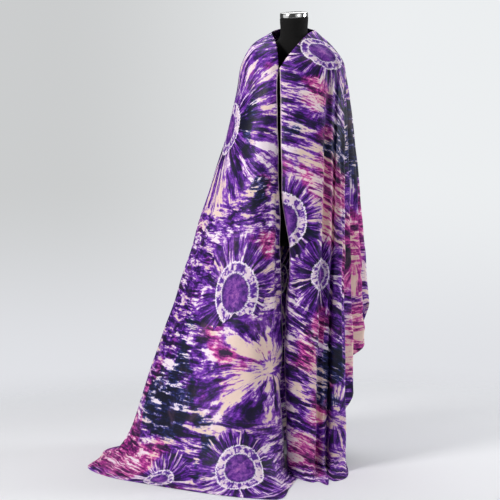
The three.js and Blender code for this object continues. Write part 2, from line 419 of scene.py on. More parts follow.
# In order round the form, from the left front edge
clothLines = [
    hang((-58, -112, 1417), (-63, -127, 1352), (22, -140), (-32, -136), 40, sway=(-14, 290, 120)),
    hang((-58, -110, 1423), (-70, -128, 1354), (4, -228), (-46, -180), 60),
    hang((-58, -107, 1432), (-79, -126, 1358), (-24, -352), (-66, -230), 100),
    hang((-58, -102, 1446), (-92, -122, 1368), (-62, -496), (-96, -280), 180),
    hang((-59, -92, 1468), (-122, -102, 1394), (-150, -486), (-168, -336), 240),
    hang((-61, -78, 1490), (-152, -70, 1422), (-250, -448), (-262, -322), 250, bow=1.04),
    hang((-65, -55, 1512), (-176, -24, 1440), (-385, -374), (-382, -246), 210, bow=1.06),
    hang((-70, -30, 1531), (-186, 20, 1448), (-520, -290), (-500, -132), 160, bow=1.1),
    hang((-75, -10, 1545), (-185, 50, 1452), (-650, -196), (-585, 20), 110, bow=1.12),
    hang((-79, 8, 1556), (-180, 70, 1455), (-741, -60), (-632, 150), 80, bow=1.12),
    hang((-80, 22, 1562), (-173, 88, 1457), (-718, 90), (-642, 232), 60, bow=1.12),
    hang((-76, 36, 1567), (-160, 103, 1459), (-706, 236), (-610, 290), 60, bow=1.1),
    hang((-68, 48, 1572), (-140, 118, 1462), (-648, 306), (-520, 326), 60),
    hang((-58, 58, 1576), (-114, 122, 1462), (-540, 322), (-420, 276), 50),
    hang((-46, 66, 1580), (-84, 136, 1464), (-398, 462), (-345, 392), 80),
    hang((-34, 72, 1583), (-58, 133, 1464), (-300, 374), (-262, 318), 60),
    hang((-20, 75, 1585), (-32, 143, 1465), (-226, 446), (-192, 372), 80),
    hang((-4, 77, 1586), (0, 136, 1466), (-104, 322), (-84, 268), 50),
    hang((14, 76, 1586), (34, 143, 1467), (6, 430), (8, 384), 50),
    hang((28, 72, 1585), (60, 131, 1467), (72, 284, 26)),
    hang((40, 67, 1583), (88, 126, 1466), (132, 318, 70)),
    hang((51, 58, 1580), (112, 103, 1464), (152, 212, 120)),
    hang((60, 48, 1577), (134, 90, 1462), (200, 236, 200), bow=0.8),
    hang((66, 38, 1574), (150, 62, 1456), (196, 176, 310), bow=0.8),
    hang((71, 28, 1571), (166, 40, 1450), (287, 150, 576), bow=0.58, rise=0.5),
    hang((73, 22, 1571), (170, 24, 1448), (214, 116, 515), bow=0.7, rise=0.46),
    hang((74, 14, 1570), (175, 8, 1446), (267, 88, 425), bow=0.58, rise=0.42),
    hang((74, 6, 1569), (175, -8, 1445), (190, 60, 360), bow=0.8, rise=0.42),
    hang((72, -2, 1567), (178, -22, 1444), (222, 32, 256), bow=0.7, rise=0.42),
    hang((68, -10, 1564), (174, -36, 1444), (160, 6, 150), rise=0.42),
    hang((62, -16, 1560), (173, -52, 1444), (192, -108), (186, -76), 30, rise=0.42),
    hang((53, -24, 1555), (163, -66, 1440), (172, -222), (158, -112), 50, rise=0.45),
    hang((44, -36, 1546), (154, -79, 1436), (132, -258), (127, -120), 50, rise=0.48),
    hang((36, -48, 1537), (147, -80, 1434), (118, -232), (116, -84), 40, rise=0.5),
    hang((24, -62, 1525), (134, -100, 1425), (106, -312), (100, -126), 50, rise=0.55),
    hang((10, -76, 1507), (114, -106, 1412), (76, -262), (74, -110), 40),
    hang((-6, -88, 1488), (104, -124, 1400), (58, -274), (64, -184), 50, sway=(-12, 560, 160)),
    hang((-26, -99, 1464), (36, -132, 1392), (34, -254), (20, -188), 50),
    hang((-46, -109, 1435), (-34, -130, 1380), (18, -236), (-18, -174), 46, sway=(26, 730, 150)),
    hang((-54, -112, 1424), (-52, -122, 1376), (10, -206), (-26, -150), 40, sway=(34, 730, 150)),
]
grid = throughPoints(np.array(clothLines), cloth["steps"]).transpose(1, 0, 2)


def gridFaces(rows, columns):
    faces = []
    for j in range(rows - 1):
        for i in range(columns - 1):
            a = j * columns + i
            faces.append((a, a + columns, a + columns + 1, a + 1))
    return faces


# More rows, by even steps between those given
def filled(rows, count, every):
    at = np.arange(count) / every
    low = np.minimum(at.astype(int), len(rows) - 2)
    share = (at - low)[:, None, None]
    return rows[low] * (1 - share) + rows[low + 1] * share


def loopPoints(mesh):
    point = np.empty(len(mesh.loops), int)
    mesh.loops.foreach_get("vertex_index", point)
    return point


# The place of each point of the sheet when it lies flat, in metres
def flatPlaces(grid, rowStep=5, columnStep=2):
    coarse = grid[::rowStep, ::columnStep]
    rows, columns = coarse.shape[:2]
    trial = meshPiece("flatTrial", coarse.reshape(-1, 3) * mm, gridFaces(rows, columns))
    mesh = trial.data
    mesh.uv_layers.new(name="flat")
    bpy.context.view_layer.objects.active = trial
    trial.select_set(True)
    bpy.ops.object.mode_set(mode="EDIT")
    bpy.ops.mesh.select_all(action="SELECT")
    bpy.ops.uv.unwrap(method="MINIMUM_STRETCH", margin=0.0)
    bpy.ops.object.mode_set(mode="OBJECT")
    corner = np.empty(len(mesh.loops) * 2)
    mesh.uv_layers["flat"].data.foreach_get("uv", corner)
    point = loopPoints(mesh)
    flat = np.zeros((rows * columns, 2))
    flat[point] = corner.reshape(-1, 2)
    flat = flat.reshape(rows, columns, 2)
    bpy.data.objects.remove(trial)
    bpy.data.meshes.remove(mesh)

    def area(g):
        a, b, c, d = g[:-1, :-1], g[1:, :-1], g[1:, 1:], g[:-1, 1:]
        return (np.linalg.norm(np.cross(c - a, d - b), axis=-1) / 2).sum()

    solid = area(coarse * mm)
    flat3 = np.concatenate([flat, np.zeros((rows, columns, 1))], 2)
    flat *= math.sqrt(solid / area(flat3))
    if np.cross(flat[0, 1] - flat[0, 0], flat[1, 0] - flat[0, 0]) < 0:
        flat[..., 0] *= -1
    # turned so that the middle of the left panel hangs straight down
    down = flat[-8, 20] - flat[4, 20]
    turn = math.atan2(down[0], -down[1])
    cos, sin = math.cos(turn), math.sin(turn)
    flat = flat @ np.array([[cos, -sin], [sin, cos]]).T
    flat -= flat.reshape(-1, 2).min(0)
    wide = filled(flat.transpose(1, 0, 2), grid.shape[1], columnStep)
    return filled(wide.transpose(1, 0, 2), grid.shape[0], rowStep)


places = flatPlaces(grid)
print("cloth lines laid", grid.shape, "flat reach", places.reshape(-1, 2).max(0).round(2))

# Creases laid one by one: the path over the cloth, half width and rise (a trough is below 0), all in mm.
# On the shoulders they only rise, since the cloth lies on the form there.
creases = {
    "uprightFold": ([(40, -150, 740), (52, -150, 560), (66, -150, 380), (74, -155, 200), (72, -165, 60)],
                    20, -15),
    "uprightRidge": ([(62, -145, 1000), (66, -145, 820), (74, -145, 600), (88, -150, 320)], 16, 12),
    "uprightTrough": ([(88, -140, 1010), (90, -140, 820), (96, -135, 640), (104, -130, 400)], 16, -6),
    "darkLine": ([(150, -90, 1330), (154, -90, 925), (138, -108, 700)], 20, -7),
    "darkLineLow": ([(140, -105, 760), (124, -115, 560), (117, -115, 380), (116, -118, 160)], 16, -16),
    "edgeRidge": ([(136, -104, 1280), (138, -104, 920), (118, -118, 700)], 14, 4),
    "outerRidge": ([(156, -84, 1180), (160, -84, 900), (156, -100, 620), (160, -120, 320)], 15, 6),
    "sideGap": ([(164, -70, 1340), (172, -70, 900), (178, -74, 560), (184, -84, 260)], 16, -16),
    "chestFold": ([(20, -140, 1180), (16, -146, 860), (10, -150, 560), (14, -160, 300), (28, -190, 80)],
                  22, -16),
    "chestRidge": ([(98, -128, 1200), (100, -130, 900), (100, -128, 640)], 18, 6),
    "dragLow": ([(176, -160, 150), (130, -190, 90), (84, -230, 40)], 14, 6),
    "dragLower": ([(186, -110, 230), (140, -130, 130), (104, -160, 70)], 13, -6),
    "chestDragA": ([(-44, -126, 1404), (20, -136, 1350), (96, -124, 1310), (150, -84, 1290)], 13, 4),
    "chestDragB": ([(-40, -132, 1350), (30, -142, 1290), (110, -122, 1230)], 15, 4),
    "chestDragC": ([(-30, -136, 1290), (40, -146, 1200), (110, -126, 1130)], 18, -5),
    "shoulderDragA": ([(-8, -94, 1478), (50, -100, 1440), (120, -92, 1400), (160, -56, 1380)], 12, 4),
    "shoulderDragB": ([(20, -70, 1515), (70, -70, 1490), (130, -50, 1450)], 12, 4),
    "leftDragA": ([(-60, -112, 1440), (-98, -112, 1404), (-148, -80, 1380)], 13, 4),
    "leftDragB": ([(-62, -124, 1396), (-104, -118, 1362), (-160, -72, 1340)], 15, 4),
    "leftDragC": ([(-64, -132, 1340), (-120, -116, 1300), (-178, -66, 1270)], 14, 4),
    "leftDragD": ([(-62, -92, 1462), (-110, -80, 1440), (-150, -60, 1412)], 12, 3),
    "frontEdge": ([(-66, -136, 1240), (-66, -170, 900), (-60, -225, 500), (-50, -280, 240)], 20, 5),
    "frontDrop": ([(-100, -140, 1200), (-104, -180, 860), (-110, -240, 480), (-120, -300, 180)], 26, -7),
    "sailA": ([(-176, -70, 1240), (-230, -110, 900), (-290, -160, 600), (-360, -230, 320)], 42, -9),
    "sailB": ([(-190, -20, 1230), (-290, -40, 860), (-400, -80, 500), (-470, -110, 260)], 36, 8),
    "sailC": ([(-140, -120, 1200), (-170, -170, 860), (-210, -240, 480), (-250, -300, 200)], 34, 7),
    "sailNotch": ([(-236, -30, 1150), (-232, -60, 1090), (-222, -90, 1040)], 14, 6),
    "trainA": ([(-640, 60, 2), (-560, -60, 2), (-470, -150, 40), (-400, -220, 60)], 22, 7),
    "trainB": ([(-690, -60, 2), (-600, -150, 2), (-500, -230, 2)], 18, 5),
    "trainC": ([(-430, -330, 2), (-330, -370, 2), (-250, -400, 10)], 18, 6),
    "collarRoll": ([(44, -38, 1543), (10, -78, 1504), (-26, -101, 1460), (-48, -111, 1430)], 13, 5),
    "cascadeA": ([(214, 116, 700), (222, 100, 560), (230, 80, 430)], 16, 8),
    "cascadeB": ([(200, 60, 1100), (212, 70, 800), (206, 66, 560)], 15, -9),
    "backA": ([(-80, 160, 1250), (-140, 240, 800), (-210, 320, 300)], 26, -10),
    "backB": ([(20, 165, 1250), (10, 250, 800), (0, 360, 240)], 24, -9),
    "backC": ([(110, 130, 1250), (140, 190, 800), (150, 230, 360)], 22, 8),
    "backD": ([(-200, 110, 1250), (-380, 200, 800), (-540, 260, 300)], 34, -9),
}
creasing = {
    "lip": (0.3, 1.25, 0.8),    # low lips beside a crease: share of its rise, how far out and how wide
    "ease": 0.3,                # the share of its length over which a crease starts and ends
    "average": 9,               # how many points on each side give the way a crease moves
    "shoulder": (1230, 90),     # no dents inward from here up, as the cloth rests on the form
    "floor": (30, 60),          # nothing sinks below 30 mm, and dents are shallower up to 60 mm
}
rumple = {"size": 0.17, "rise": 2.2, "most": 26}    # shallow dents all over, metres, mm and how many waves


def flatPlace(spot):
    gap = np.sum((grid.reshape(-1, 3) - np.array(spot)) ** 2, 1)
    return places.reshape(-1, 2)[int(np.argmin(gap))]


# A trough or ridge with low lips beside it, uneven along its length and easing in at both ends
def creaseRise(path, width, rise, seed):
    path = throughPoints([flatPlace(spot) for spot in path], 8)
    length = np.concatenate([[0], np.cumsum(np.linalg.norm(np.diff(path, axis=0), axis=1))])
    spots = places.reshape(-1, 2)
    best = np.full(len(spots), 9.0)
    along = np.zeros(len(spots))
    for k in range(len(path) - 1):
        ahead = path[k + 1] - path[k]
        share = np.clip(((spots - path[k]) @ ahead) / max(ahead @ ahead, 1e-9), 0, 1)
        gap = np.linalg.norm(spots - path[k] - share[:, None] * ahead, axis=1)
        nearer = gap < best
        best = np.where(nearer, gap, best)
        along = np.where(nearer, length[k] + share * (length[k + 1] - length[k]), along)
    ends = np.clip(np.minimum(along, length[-1] - along) / (creasing["ease"] * length[-1]), 0, 1)
    ease = ends ** 2 * (3 - 2 * ends)
    uneven = 0.82 + 0.18 * np.sin(along * 19 + seed * 2.1) * np.cos(along * 7 + seed)
    off = best / (width * mm * (0.85 + 0.25 * np.sin(along * 9 + seed)))
    share, out, wide = creasing["lip"]
    return (rise * uneven * ease * (bump(off) - share * bump((off - out) / wide))).reshape(grid.shape[:2])


# Averaged over nearby points, so that deep creases move one way and seldom cross
def blurred(grid, reach):
    for axis in (0, 1):
        pads = [(reach, reach) if k == axis else (0, 0) for k in range(3)]
        wide = np.pad(grid, pads, mode="reflect", reflect_type="odd").cumsum(axis)
        wide = np.concatenate([np.zeros_like(np.take(wide, [0], axis)), wide], axis)
        count = 2 * reach + 1
        size = grid.shape[axis]
        grid = (np.take(wide, range(count, count + size), axis) - np.take(wide, range(size), axis)) / count
    return grid


def creased(grid):
    rise = np.zeros(grid.shape[:2])
    for k, (path, width, height) in enumerate(creases.values()):
        rise += creaseRise(path, width, height, k)
    pick = np.random.default_rng(7)
    dents = np.zeros(grid.shape[:2])
    for k in range(rumple["most"]):
        turn, size = pick.uniform(0, math.tau), rumple["size"] * pick.uniform(0.5, 1.6)
        aim = np.array([math.cos(turn) * 0.6, math.sin(turn)])
        dents += np.sin(places @ aim * math.tau / size + pick.uniform(0, math.tau))
    dents *= rumple["rise"] / math.sqrt(rumple["most"])
    high, over = creasing["shoulder"]
    least, under = creasing["floor"]
    high = np.clip((grid[..., 2] - high) / over, 0, 1)
    low = np.clip(grid[..., 2] / under, 0, 1)
    dents = np.where(dents < 0, dents * (1 - high), dents * (1 - 0.5 * high)) * (0.25 + 0.75 * low)
    rise += dents
    rise = np.where(rise < 0, rise * (1 - high), rise)
    rise = blurred(rise[..., None], 1)
    moved = grid + gridNormals(blurred(grid, creasing["average"])) * rise
    lifted = np.maximum(moved[..., 2], cloth["floorGap"])
    moved[..., 2] = np.where(grid[..., 2] < least, lifted, moved[..., 2])
    return moved


# in metres: how fast strokes sink on the right front, and how far that reaches from its edge
slope = {"fall": 0.42, "reach": 0.45, "floor": 40}


# Two more places for each point, in metres: round and down the hanging cloth, and in from edge and hem
def hangPlaces(grid):
    length = np.linalg.norm(np.diff(grid, axis=0), axis=2) * mm
    none = np.zeros((1, grid.shape[1]))
    onFloor = np.concatenate([none, (length * (grid[1:, :, 2] < slope["floor"])).cumsum(0)])
    down = onFloor - grid[..., 2] * mm
    hem = np.concatenate([length[::-1].cumsum(0)[::-1], none])
    width = np.linalg.norm(np.diff(places, axis=1), axis=2).cumsum(1)
    width = np.concatenate([np.zeros((grid.shape[0], 1)), width], 1)
    around = np.repeat(width[grid.shape[0] // 2][None], grid.shape[0], 0)
    down = down + slope["fall"] * np.maximum(around - around.max() + slope["reach"], 0)
    side = np.minimum(width, width[:, -1:] - width)
    return np.stack([around, down], 2), np.stack([side, hem], 2)


hung, edges = hangPlaces(grid)
hangGrid = grid
grid = creased(grid)
print("cloth creased by", np.abs(grid - hangGrid).max().round(1), "mm at most")


def makeCloth(grid):
    rows, columns = grid.shape[:2]
    normals = gridNormals(grid)
    half = cloth["thickness"] / 2
    low, high = 0.2, 1.2    # mm, the sheet's two sides where it lies on the floor
    outer = grid + normals * half
    inner = grid - normals * half
    outer[..., 2] = np.maximum(outer[..., 2], np.where(normals[..., 2] > 0, high, low))
    inner[..., 2] = np.maximum(inner[..., 2], np.where(normals[..., 2] > 0, low, high))
    points = np.concatenate([outer.reshape(-1, 3), inner.reshape(-1, 3)]) * mm
    count = rows * columns
    front = gridFaces(rows, columns)
    faces = front + [tuple(i + count for i in reversed(face)) for face in front]
    edge = [*range(columns - 1), *range(columns - 1, count - 1, columns),
            *range(count - 1, count - columns, -1), *range(count - columns, 0, -columns)]
    for a, b in zip(edge, edge[1:] + edge[:1]):
        faces.append((a, b, b + count, a + count))
    piece = meshPiece("adireCloth", points, faces)
    point = loopPoints(piece.data)
    for name, spots in (("clothPlace", places), ("hangPlace", hung), ("edgePlace", edges)):
        layer = piece.data.uv_layers.new(name=name)
        layer.data.foreach_set("uv", spots.reshape(-1, 2)[point % count].ravel())
    return piece


clothPiece = makeCloth(grid)


# Each tied knot is a place on the cloth (mm) with its ring's radius (0 for a burst without one),
# how far its streaks reach beyond the ring (mm) and how tall the ring is for its width.
knots = {
    "leftEdge": ((-262, 0, 1225), 84, 190, 1.15), "shoulder": ((95, -83, 1489), 78, 80, 0.9),
    "middle": ((-209, -207, 640), 86, 80, 1.32), "nearFloor": ((-187, -359, 68), 84, 70, 1.0),
    "inner": ((-20, -140, 892), 88, 60, 1.1, (4, -146, 892)), "leftFront": ((-84, -150, 950), 0, 30, 1.0),
    "cascadeLow": ((215, 30, 420), 0, 40, 1.0), "navyStar": ((-421, -138, 225), 0, 50, 1.0),
    "smallRight": ((64, -125, 704), 50, 70, 1.15),
    "train": ((-474, -265, 5), 48, 60, 1.0), "creamStar": ((-85, -225, 391), 0, 330, 0.6),
    "rightLow": ((145, -113, 190), 0, 120, 1.0), "cascade": ((215, 60, 820), 0, 130, 1.8),
    "chest": ((93, -133, 1290), 0, 60, 1.0), "sailFront": ((-330, -90, 720), 0, 20, 1.0),
    "sailEdge": ((-430, -10, 560), 0, 20, 1.0),
}
# In metres: knots where nothing is named, a few of them with rings
spread = {"between": 0.34, "ring": 0.07, "most": 14, "reach": 0.10, "ringEach": 3}
# Patches where one bath took more strongly: place, reach, and how strong
patches = {
    "navy": [((-421, -138, 225), 130, 1.0), ((-516, 42, 246), 110, 0.9), ((-328, -277, 96), 60, 0.7),
             ((3, -139, 1243), 60, 0.8), ((204, 30, 1200), 190, 1.0), ((127, -91, 396), 110, 1.0),
             ((-140, -170, 983), 50, 0.7), ((-171, -95, 1237), 50, 0.8), ((205, 11, 745), 60, 0.7),
             ((-382, -134, 400), 60, 0.6), ((100, -130, 300), 70, 0.7), ((90, -140, 500), 60, 0.6),
             ((50, -150, 850), 40, 0.6), ((-152, -120, 1180), 40, 0.8), ((-300, -100, 560), 70, 0.5)],
    "pink": [((-640, 90, 19), 150, 1.0), ((-560, -115, 23), 140, 0.9), ((93, -133, 1319), 70, 0.9),
             ((235, 60, 760), 220, 0.9), ((-115, -167, 1017), 60, 0.8), ((25, -182, 110), 100, 0.9),
             ((69, -143, 1000), 110, 0.7), ((82, -136, 526), 60, 0.9), ((-420, -346, 3), 60, 0.8),
             ((140, -95, 1080), 130, 0.9), ((110, -110, 1180), 80, 0.7), ((-110, -115, 1400), 50, 0.6),
             ((220, 50, 470), 150, 1.0), ((-90, -180, 800), 60, 0.6), ((110, -130, 240), 110, 0.8),
             ((-250, -200, 480), 70, 0.5), ((40, -150, 420), 80, 0.6)],
    "cream": [((69, -142, 1150), 80, 0.8), ((145, -113, 113), 120, 1.0), ((215, 30, 400), 90, 1.0),
              ((-329, -247, 159), 80, 0.7), ((-71, -222, 240), 70, 0.6), ((-87, -132, 1230), 60, 0.9),
              ((-260, -30, 960), 110, 0.8), ((-140, -250, 400), 110, 0.9), ((-216, -125, 947), 90, 0.8),
              ((-110, -170, 640), 70, 0.7), ((100, -120, 900), 90, 0.7), ((235, 60, 640), 90, 0.8),
              ((60, -150, 330), 90, 0.8),
              ((-200, -260, 320), 90, 0.6), ((225, 60, 500), 120, 0.9), ((-300, -60, 1000), 60, 0.8),
              ((44, -36, 1546), 24, 1.0), ((20, -66, 1520), 22, 1.0), ((-6, -88, 1488), 20, 0.8)],
}
dye = {
    "warp": 0.018,          # how far the knots' rings wander, metres
    "wander": 0.22,         # how far the streaks and the patches do
    "spokes": (3.3, 6.0),   # streaks round a knot, for a burst and for a ring
    "stretch": 5.0,         # how fast a streak changes outward
    "pleats": (9.0, 42.0),  # strokes along the cloth's width, in a metre each way
    "tilt": (0.06, 0.08, 0),
    "contrast": 1.75,
    "depth": 0.50,
    # what darkens or lightens the dye, and by how much
    "shares": {"blot": 0.42, "spotty": 0.22, "halo": 0.055, "star": -0.02, "cream": -0.065, "navy": 0.05},
    "veil": -0.045,
    "warmFrom": (0.735, 0.90),
    "coldFrom": (0.78, 0.88),
    "plain": [(0.0, (0.88, 0.74, 0.78)), (0.30, (0.76, 0.55, 0.64)), (0.37, (0.45, 0.20, 0.58)),
              (0.43, (0.21, 0.045, 0.46)), (0.51, (0.11, 0.013, 0.31)), (0.61, (0.028, 0.004, 0.10)),
              (0.74, (0.008, 0.003, 0.032)), (1.0, (0.004, 0.002, 0.016))],
    "warm": [(0.0, (0.88, 0.64, 0.66)), (0.33, (0.82, 0.38, 0.52)), (0.40, (0.70, 0.13, 0.42)),
             (0.49, (0.44, 0.026, 0.27)), (0.60, (0.15, 0.009, 0.14)), (0.74, (0.022, 0.004, 0.038))],
    "cold": [(0.0, (0.80, 0.70, 0.68)), (0.30, (0.56, 0.46, 0.60)), (0.37, (0.13, 0.12, 0.42)),
             (0.44, (0.022, 0.026, 0.16)), (0.54, (0.006, 0.008, 0.045)), (0.72, (0.003, 0.003, 0.016))],
    "line": (0.90, 0.80, 0.94),
    "mauve": (0.36, 0.17, 0.30),
    "undyed": ((0.90, 0.79, 0.90), (0.80, 0.61, 0.50)),     # nearly white, and tan
    "selvage": (0.80, 0.66, 0.66),
    # painted shade: the dark line along the folded-under hem
    "hemShade": (0.05, 0.02, 0.09),
    "roughness": 0.44,
    "sheen": 0.02,
    "threads": 1400.0,
    "hem": 0.022,           # how far the painted shade line along the folded-under hem is from the edge
}


# Where a knot lies on the flat cloth and which way is down there; a second spot sets it beyond the edge
def knotPlace(spot, beyond):
    at = flatPlace(spot)
    down = flatPlace(np.array(spot) - (0, 0, 60)) - flatPlace(np.array(spot) + (0, 0, 60))
    if beyond:
        at = at + (at - flatPlace(beyond))
    return at, down / max(np.linalg.norm(down), 1e-6)


# Knots for the parts of the cloth that no named knot is near, always the emptiest place first
def spareKnots(used):
    spots = places[::4, ::4].reshape(-1, 2)
    found = []
    while len(found) < spread["most"]:
        near = np.min([np.sum((spots - u) ** 2, 1) for u in used + found], 0)
        k = int(np.argmax(near))
        if near[k] < spread["between"] ** 2:
            break
        found.append(spots[k])
    return found


def makeKnotGroup():
    given, made = startGroup("nearestKnot", {
        "Place": None, "Rough Place": None, "Knot": None, "Ring": 0.0, "Hold": 0.1, "Down": None,
        "Squash": 0.0, "Seed": 0.0, "Best Gap": 9.0, "Best Way": None, "Best Ring": 0.0, "Best Hold": 0.1,
        "Best Seed": 0.0}, {"Gap": 0.0, "Way": None, "Ring": 0.0, "Hold": 0.0, "Seed": 0.0})
    gap = vectors("DISTANCE", given["Rough Place"], given["Knot"])
    gap = minus(gap, plus(given["Ring"], given["Hold"], 0.8))
    nearer = sums("LESS_THAN", gap, given["Best Gap"])
    way = vectors("SUBTRACT", given["Place"], given["Knot"])
    drop = times(vectors("DOT_PRODUCT", way, given["Down"]), given["Squash"])
    way = vectors("ADD", way, scaled(given["Down"], drop))
    fill(made, {"Gap": sums("MINIMUM", gap, given["Best Gap"]),
                      "Way": blend(nearer, given["Best Way"], way, "VECTOR")})
    for name in ("Ring", "Hold", "Seed"):
        join(blend(nearer, given["Best " + name], given[name], "FLOAT"), made[name])
    return trees.pop()


def makePatchGroup():
    given, made = startGroup("dyePatch", {
        "Place": None, "Middle": None, "Reach": 0.1, "Strength": 1.0, "Before": 0.0}, {"Mask": 0.0})
    gap = vectors("DISTANCE", given["Place"], given["Middle"])
    near = sums("SUBTRACT", 1.35, sums("DIVIDE", gap, given["Reach"]), clamp=True)
    mask = sums("MAXIMUM", times(near, given["Strength"]), given["Before"])
    join(mask, made["Mask"])
    return trees.pop()


# Streaks in any coordinates: broad ones, fine ones and ragged cells of one tone
def makeStreakGroup():
    given, made = startGroup("dyeStreaks", {"Spot": None}, {"Streak": 0.0, "Fine": 0.0, "Depth": 0.0})
    spot = given["Spot"]
    streak = noise(spot, 1.0, 6.0, 0.66, 0.3)
    fine = noise(scaled(spot, 3.1), 1.0, 5.0, 0.64, 0.15)
    ragged = noise(scaled(spot, 1.9 * 1.6), 1.0, 4.0, 0.65, color=True)
    cells = newNode("TexVoronoi")
    cellSpot = vectors("ADD", scaled(spot, 1.9), scaled(ragged, 1.3))
    fill(cells.inputs, {"Vector": cellSpot, "Scale": 1.0})
    stroke = parts(cells.outputs["Color"])[0]
    depth = vary(vary(minus(streak, 0.5), fine, 0.5), stroke, 0.15)
    fill(made, {"Streak": streak, "Fine": fine, "Depth": depth})
    return trees.pop()


# A tied ring: stitched lines, a blotched band and a darker disc, from the share of the radius
def makeRingGroup():
    given, made = startGroup(
        "tiedRing", {"Share": 2.0, "Ring": 0.08, "Band": 0.5, "Grain": 0.5, "Stitch": 0.5},
        {"Color": (), "Mask": 0.0, "Line": 0.0})
    share, grain = given["Share"], given["Grain"]
    inner = 0.66
    bandColor = colorRamp(vary(given["Band"], grain, 0.55), [
        (0.0, (0.84, 0.74, 0.76)), (0.47, (0.74, 0.60, 0.70)), (0.50, (0.36, 0.18, 0.56)),
        (0.54, (0.12, 0.025, 0.34)), (0.70, (0.04, 0.008, 0.14))])
    discColor = colorRamp(plus(vary(0.16, grain, 1.7), share, 0.5), [
        (0.0, (0.38, 0.13, 0.46)), (0.2, (0.21, 0.05, 0.36)), (0.4, (0.10, 0.018, 0.25)),
        (0.62, (0.035, 0.006, 0.12))])
    lines = []
    for at, width, weight in ((1.0, 0.0042, 1.0), (inner, 0.0038, 0.75)):
        offset = times(sums("ABSOLUTE", minus(share, at)), given["Ring"])
        line = below(offset, width * 0.4, width)
        lines.append(times(line, times(given["Stitch"], weight)))
    onBand = sums("GREATER_THAN", share, inner)
    fill(made, {"Color": blend(onBand, discColor, bandColor),
                      "Mask": sums("LESS_THAN", share, 1.0), "Line": sums("MAXIMUM", *lines)})
    return trees.pop()


def chainKnots(place, rough):
    group = makeKnotGroup()
    named = []
    for spot, ring, hold, tall, *beyond in knots.values():
        named.append((*knotPlace(spot, beyond[0] if beyond else None), ring * mm, hold * mm, tall))
    spare = spareKnots([row[0] for row in named])
    for k, at in enumerate(spare):
        ring = spread["ring"] * (0.8 + 0.4 * ((k * 7) % 5) / 4) if k % spread["ringEach"] == 1 else 0.0
        named.append((at, (0, -1), ring, spread["reach"] * (0.7 + 0.2 * (k % 4)), 0.85 + 0.15 * (k % 3)))
    best = {"bestGap": 9.0}
    for k, (at, down, ring, hold, tall) in enumerate(named):
        out = useGroup(group, place=place, roughPlace=rough, knot=(*at, 0), ring=ring, hold=hold,
                       down=(*down, 0), squash=1 / tall - 1, seed=k * 3.7, **best)
        best = {"best" + name: out[name] for name in ("Gap", "Way", "Ring", "Hold", "Seed")}
    print(len(named), "knots in the dye,", len(spare), "of them where the photo shows nothing")
    return [best["best" + name] for name in ("Way", "Ring", "Hold", "Seed")]


def chainPatches(place, group, rows):
    mask = 0.0
    for spot, reach, strength in rows:
        at = flatPlace(spot)
        mask = useGroup(group, place=place, middle=(at[0], at[1], 0), reach=reach * mm,
                        strength=strength, before=mask)["Mask"]
    return mask


